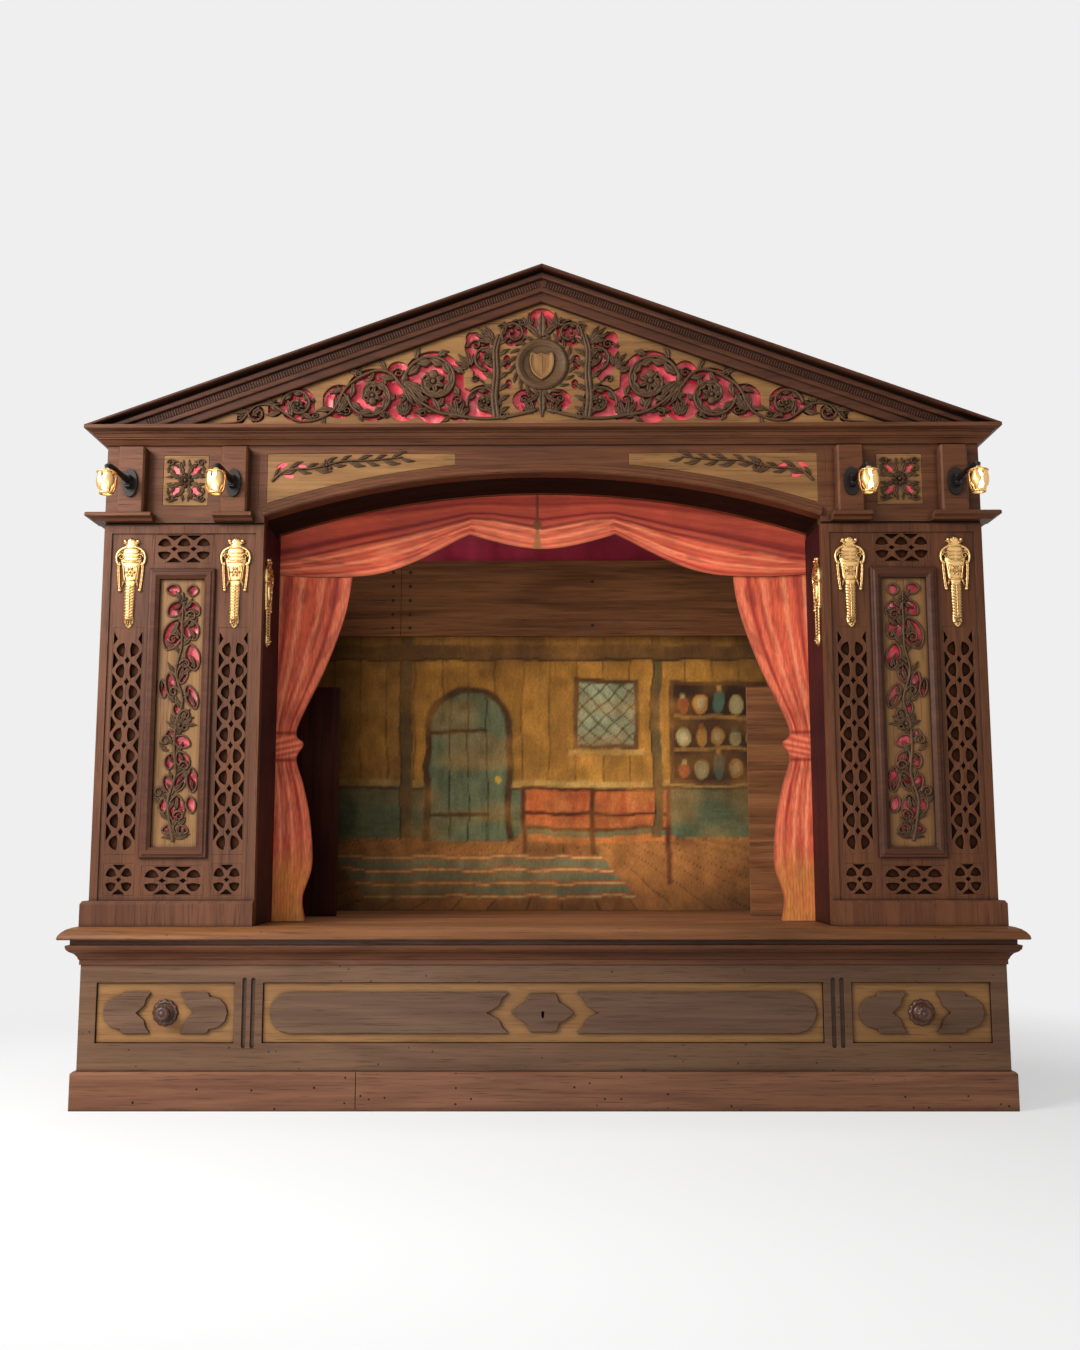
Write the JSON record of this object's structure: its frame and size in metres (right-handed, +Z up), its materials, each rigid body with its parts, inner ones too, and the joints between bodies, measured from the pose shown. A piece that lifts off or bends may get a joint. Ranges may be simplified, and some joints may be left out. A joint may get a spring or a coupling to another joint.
{
  "type": "puppet theater stand",
  "caption": "Free-standing wooden puppet theatre with a gabled proscenium, fretted pilasters, a drawer base, swing-arm lamps and a small stage.",
  "frame": {"origin": "middle of the plinth's underside, on the floor", "axes": "+X to the viewer's right along the front, +Y from the front into the stage, +Z up"},
  "size_m": [2.004, 0.9433, 1.811],
  "materials": {
    "wood": "waxed red-brown wood, dry and worn on the edges",
    "pale_wood": "golden-brown wood of the fretted and drawer panels",
    "floor_wood": "worn brown planks",
    "gilt": "gilt brass, satin",
    "iron": "black iron with a gilt cage",
    "bulb_glass": "frosted warm-white glass",
    "silk": "crimson satin",
    "crimson_cloth": "crimson cloth",
    "painted_cloth": "thin board painted as coral-red drapery with yellow fringes",
    "painted_scene": "board painted as an ochre plank room",
    "plank": "dark unvarnished boards"
  },
  "bodies": {
    "stand": {"plinth": "wood", "base_front_frame": "wood", "base_carcass": "wood", "ledge_moulding": "wood", "ledge_top": "wood", "left_pilaster_front": "wood", "right_pilaster_front": "wood", "left_pilaster_case": "wood", "right_pilaster_case": "wood", "left_panel_frame": "wood", "right_panel_frame": "wood", "left_tracery": "wood", "right_tracery": "wood", "arch_header": "wood", "left_frieze_end": "wood", "right_frieze_end": "wood", "cornice": "wood", "raking_cornices": "wood", "medallion": "wood", "rear_frame": "wood", "left_fret_panel": "pale_wood", "right_fret_panel": "pale_wood", "tympanum_board": "pale_wood", "stage_floor": "floor_wood", "left_inner_mount": "gilt", "right_inner_mount": "gilt", "left_outer_mount": "gilt", "right_outer_mount": "gilt", "lamp_plate_1": "iron", "lamp_plate_2": "iron", "lamp_plate_3": "iron", "lamp_plate_4": "iron", "left_panel_silk": "silk", "right_panel_silk": "silk", "tympanum_silk": "silk", "rear_cloth": "crimson_cloth", "valance": "painted_cloth", "left_curtain": "painted_cloth", "right_curtain": "painted_cloth", "backdrop": "painted_scene", "gable_shell": "plank", "left_side_wall": "plank", "right_side_wall": "plank", "stage_header": "plank"},
    "left_drawer": {"left_drawer_front": "pale_wood", "left_drawer_box": "plank", "left_drawer_knob": "wood"},
    "right_drawer": {"right_drawer_front": "pale_wood", "right_drawer_box": "plank", "right_drawer_knob": "wood"},
    "centre_drawer": {"centre_drawer_front": "pale_wood", "centre_drawer_box": "plank"},
    "lamp_1": {"lamp_arm_1": "iron", "lamp_bulb_1": "bulb_glass"},
    "lamp_2": {"lamp_arm_2": "iron", "lamp_bulb_2": "bulb_glass"},
    "lamp_3": {"lamp_arm_3": "iron", "lamp_bulb_3": "bulb_glass"},
    "lamp_4": {"lamp_arm_4": "iron", "lamp_bulb_4": "bulb_glass"}
  },
  "joints": [
    {"name": "left_drawer_slide", "type": "slide", "parent": "stand", "child": "left_drawer", "axis": [0, -1, 0], "range_m": [0, 0.3]},
    {"name": "right_drawer_slide", "type": "slide", "parent": "stand", "child": "right_drawer", "axis": [0, -1, 0], "range_m": [0, 0.3]},
    {"name": "centre_drawer_slide", "type": "slide", "parent": "stand", "child": "centre_drawer", "axis": [0, -1, 0], "range_m": [0, 0.3]},
    {"name": "lamp_1_swing", "type": "hinge", "parent": "stand", "child": "lamp_1", "pos_m": [-0.892, -0.4083, 1.318], "axis": [0, 0, 1], "range_deg": [-40, 40]},
    {"name": "lamp_2_swing", "type": "hinge", "parent": "stand", "child": "lamp_2", "pos_m": [-0.668, -0.4083, 1.318], "axis": [0, 0, 1], "range_deg": [-40, 40]},
    {"name": "lamp_3_swing", "type": "hinge", "parent": "stand", "child": "lamp_3", "pos_m": [0.668, -0.4083, 1.318], "axis": [0, 0, 1], "range_deg": [-40, 40]},
    {"name": "lamp_4_swing", "type": "hinge", "parent": "stand", "child": "lamp_4", "pos_m": [0.892, -0.4083, 1.318], "axis": [0, 0, 1], "range_deg": [-40, 40]}
  ]
}
